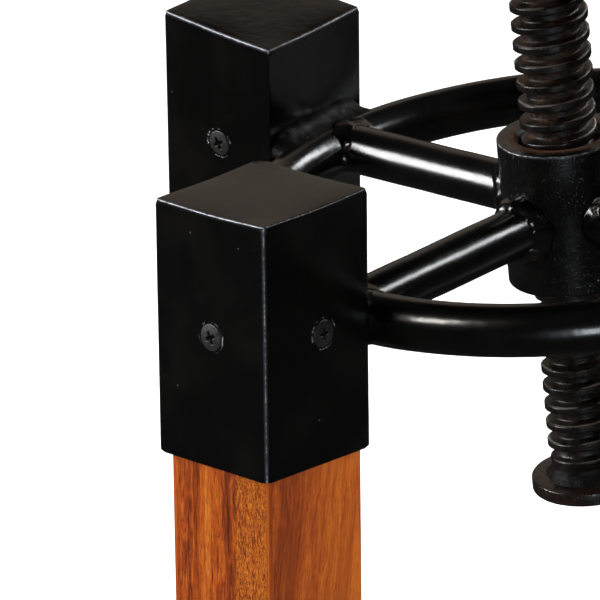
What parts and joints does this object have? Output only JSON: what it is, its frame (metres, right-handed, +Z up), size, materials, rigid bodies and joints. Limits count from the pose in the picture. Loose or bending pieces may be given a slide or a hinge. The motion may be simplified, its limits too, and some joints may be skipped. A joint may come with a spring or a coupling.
{
  "type": "adjustable bar stool",
  "caption": "Round wooden stool seat on a threaded steel spindle that screws through a spoked hub; a ring joins the hub to steel-capped, splayed square wooden legs above a foot ring.",
  "frame": {"origin": "on the floor, on the spindle's axis, in the middle of the feet", "axes": "+Z up along the spindle, +X and +Y between the legs, so that the legs stand near the diagonals"},
  "size_m": [0.32, 0.32, 0.68],
  "materials": {
    "black_steel": "semi-gloss black paint over welded steel, worn bright along the sheet edges",
    "thread_steel": "dark bare steel, oily, with brown rust in the groove and on the upper flanks",
    "dark_screw_steel": "blackened cross-head screws, satin",
    "leg_wood": "honey-brown hardwood with dark streaks, satin lacquer",
    "seat_wood": "honey-brown hardwood boards, satin lacquer",
    "glide_plastic": "matt black moulded plastic"
  },
  "bodies": {
    "stand": {"nut_hub": "black_steel", "spoke_front_left": "black_steel", "spoke_back_left": "black_steel", "spoke_front_right": "black_steel", "spoke_back_right": "black_steel", "top_ring": "black_steel", "leg_cap_front_left": "black_steel", "leg_cap_back_left": "black_steel", "leg_cap_front_right": "black_steel", "leg_cap_back_right": "black_steel", "cap_screws": "dark_screw_steel", "leg_front_left": "leg_wood", "leg_back_left": "leg_wood", "leg_front_right": "leg_wood", "leg_back_right": "leg_wood", "foot_glide_front_left": "glide_plastic", "foot_glide_back_left": "glide_plastic", "foot_glide_front_right": "glide_plastic", "foot_glide_back_right": "glide_plastic", "foot_ring": "black_steel", "foot_tab_front_left": "black_steel", "foot_tab_back_left": "black_steel", "foot_tab_front_right": "black_steel", "foot_tab_back_right": "black_steel", "foot_tab_screws": "dark_screw_steel", "hub_welds": "black_steel", "ring_spoke_welds": "black_steel", "ring_cap_welds": "black_steel", "foot_ring_welds": "black_steel"},
    "stop_disc": {"stop_disc": "black_steel", "stop_disc_weld": "black_steel"},
    "seat": {"spindle": "thread_steel", "seat_collar": "black_steel", "seat_plate": "black_steel", "seat_plate_weld": "black_steel", "seat_screws": "dark_screw_steel", "seat_board_1": "seat_wood", "seat_board_2": "seat_wood", "seat_board_3": "seat_wood", "seat_board_4": "seat_wood", "seat_board_5": "seat_wood"}
  },
  "joints": [
    {"name": "seat_rise", "type": "slide", "parent": "stand", "child": "stop_disc", "axis": [0, 0, 1], "range_m": [-0.0816, 0.0583]},
    {"name": "seat_turn", "type": "hinge", "parent": "stop_disc", "child": "seat", "pos_m": [0, 0, 0.437], "axis": [0, 0, 1], "range_deg": [-5040, 3600]}
  ],
  "couplings": [
    {"joint": "seat_rise", "follows": "seat_turn", "m_per_rad": 0.00092628}
  ]
}
